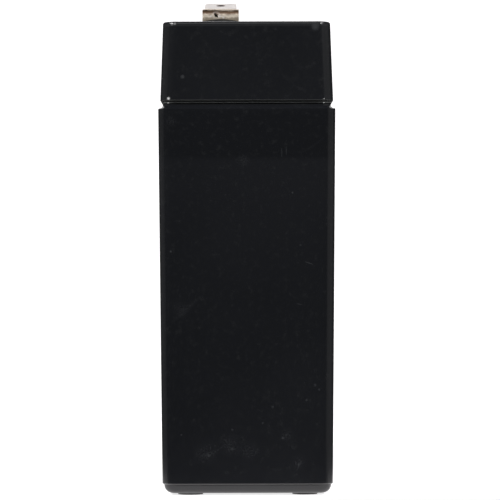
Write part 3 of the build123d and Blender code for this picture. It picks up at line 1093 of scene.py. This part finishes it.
def mask_mirrored(tree):
    """1 where reflections may see the sheet: high on the wall and near the footprint."""
    position = tree.nodes.new("ShaderNodeTexCoord").outputs["Object"]
    up_the_wall = ramp_between(tree, one_axis(tree, position, "Z"), *wall_levels)
    folded = vector_math(tree, "ABSOLUTE", position)
    beyond = vector_math(tree, "MAXIMUM", vector_math(tree, "SUBTRACT", folded, footprint))
    near = ramp_between(tree, vector_value(tree, "LENGTH", beyond), *near_distances)
    return math_node(tree, "MAXIMUM", up_the_wall, near)


print("the mirrored part can be masked")

# %% White paper with a little glow
paper_white = (0.82, 0.79, 0.80, 1)


def make_sweep_white(glow):
    material = bpy.data.materials.new("sweep_white")
    material.use_nodes = True
    tree = material.node_tree
    tree.nodes.clear()
    light = tree.nodes.new("ShaderNodeLightPath").outputs
    kept = mask_mirrored(tree)
    mirrored = times(tree, light["Is Glossy Ray"], kept)
    faded = times(tree, light["Is Glossy Ray"], math_node(tree, "SUBTRACT", 1.0, kept))
    seen = math_node(tree, "MAXIMUM", light["Is Camera Ray"], mirrored)
    seen = math_node(tree, "MAXIMUM", seen, light["Is Transmission Ray"])
    paper = add(tree, "ShaderNodeBsdfDiffuse", {"Color": paper_white})
    glowing = add(tree, "ShaderNodeEmission", {"Strength": times(tree, seen, glow)})
    both = add(tree, "ShaderNodeAddShader", {0: paper.outputs[0], 1: glowing.outputs[0]})
    behind = tree.nodes.new("ShaderNodeNewGeometry").outputs["Backfacing"]
    hidden = math_node(tree, "MAXIMUM", behind, faded)
    clear = tree.nodes.new("ShaderNodeBsdfTransparent")
    sides = {0: hidden, 1: both.outputs[0], 2: clear.outputs[0]}
    sided = add(tree, "ShaderNodeMixShader", sides)
    output = tree.nodes.new("ShaderNodeOutputMaterial")
    tree.links.new(sided.outputs[0], output.inputs["Surface"])
    return material


front_gap = mm(8)
sweep = make_sweep(half_width=0.5, front=end_face - front_gap, back=1.3, height=1.6, bend=0.5)
sweep.data.materials.append(make_sweep_white(glow=0.75))
print("sweep faces:", len(sweep.data.polygons))

# %% [markdown]
# ## Light
#
# Two key lights stand high on the left and right, where the photograph's two highlights on the
# cover's upper corners say they were. A weak fill stands in front, two dim cards at the sides draw
# the soft lines along the upright edges, and one panel high behind lights the top. None stands
# where the flat end face would mirror it into the camera, so that face keeps its deep black.

# %% Panels: place, width, height and power
panel_rows = {
    "key_left": ((-0.87, -0.69, 0.86), 0.55, 0.28, 15.0),
    "key_right": ((0.87, -0.69, 0.86), 0.38, 0.28, 10.0),
    "fill_front": ((0.0, -1.2, 0.9), 1.2, 0.5, 3.0),
    "card_left": ((-1.0, 0.0, 0.25), 1.0, 0.8, 0.36),
    "card_right": ((0.97, -0.26, 0.25), 1.2, 0.8, 0.68),
    "top": ((0.0, 0.95, 0.85), 1.2, 0.5, 1.8),
}
lit_point = Vector((0, 0, mm(50)))


def add_panel(name, place, width, height, power):
    light = bpy.data.lights.new(name, "AREA")
    light.shape = "RECTANGLE"
    light.size = width
    light.size_y = height
    light.energy = power
    panel = bpy.data.objects.new(name, light)
    panel.location = place
    panel.rotation_euler = (lit_point - Vector(place)).to_track_quat("-Z", "Y").to_euler()
    bpy.context.scene.collection.objects.link(panel)
    return panel


panels = [add_panel(name, *row) for name, row in panel_rows.items()]
print("panels:", len(panels))

# %% The room's own light
room_tint = (0.94, 0.97, 1, 1)
room_level = 0.06


def set_world():
    """White to the camera, and dim and a little blue to everything else."""
    world = bpy.data.worlds.new("room")
    world.use_nodes = True
    tree = world.node_tree
    tree.nodes.clear()
    light = tree.nodes.new("ShaderNodeLightPath")
    white = add(tree, "ShaderNodeBackground", {"Color": (1, 1, 1, 1), "Strength": 1.0})
    dim = add(tree, "ShaderNodeBackground", {"Color": room_tint, "Strength": room_level})
    inputs = {0: light.outputs["Is Camera Ray"], 1: dim.outputs[0], 2: white.outputs[0]}
    mixed = add(tree, "ShaderNodeMixShader", inputs)
    output = tree.nodes.new("ShaderNodeOutputWorld")
    tree.links.new(mixed.outputs[0], output.inputs["Surface"])
    bpy.context.scene.world = world


set_world()
bpy.context.scene.view_settings.view_transform = "Standard"
print("world:", bpy.context.scene.world.name)

# %% [markdown]
# ## Camera
#
# The photograph looks level at the middle of the battery's end, from far enough away that the
# sides hardly show. The case's known height and its height in the picture give the scale, and
# the way the rear edges hide behind the front ones gives the distance.

# %% Camera values
picture_size = 500
pixels_per_metre = 5055.0
camera_distance = mm(700)
centre_column = 247.1
base_row = 495.96
sensor_width = 36.0
roll = math.radians(0.14)
print("picture height at the end face, in mm:", round(1000 * picture_size / pixels_per_metre, 1))

# %% Place the camera
lens_data = bpy.data.cameras.new("camera")
lens_data.sensor_width = sensor_width
lens_data.lens = sensor_width * pixels_per_metre * camera_distance / picture_size
lens_data.clip_start = 0.01
lens_data.clip_end = 20
camera = bpy.data.objects.new("camera", lens_data)
camera.location = (
    (picture_size / 2 - centre_column) / pixels_per_metre,
    end_face - camera_distance,
    (base_row - picture_size / 2) / pixels_per_metre,
)
camera.rotation_euler = (math.pi / 2, roll, 0)
bpy.context.scene.collection.objects.link(camera)
bpy.context.scene.camera = camera
print("lens:", round(lens_data.lens, 1), "mm, at", [round(v, 4) for v in camera.location])

# %% [markdown]
# ## Finish
#

print("the scene is ready")
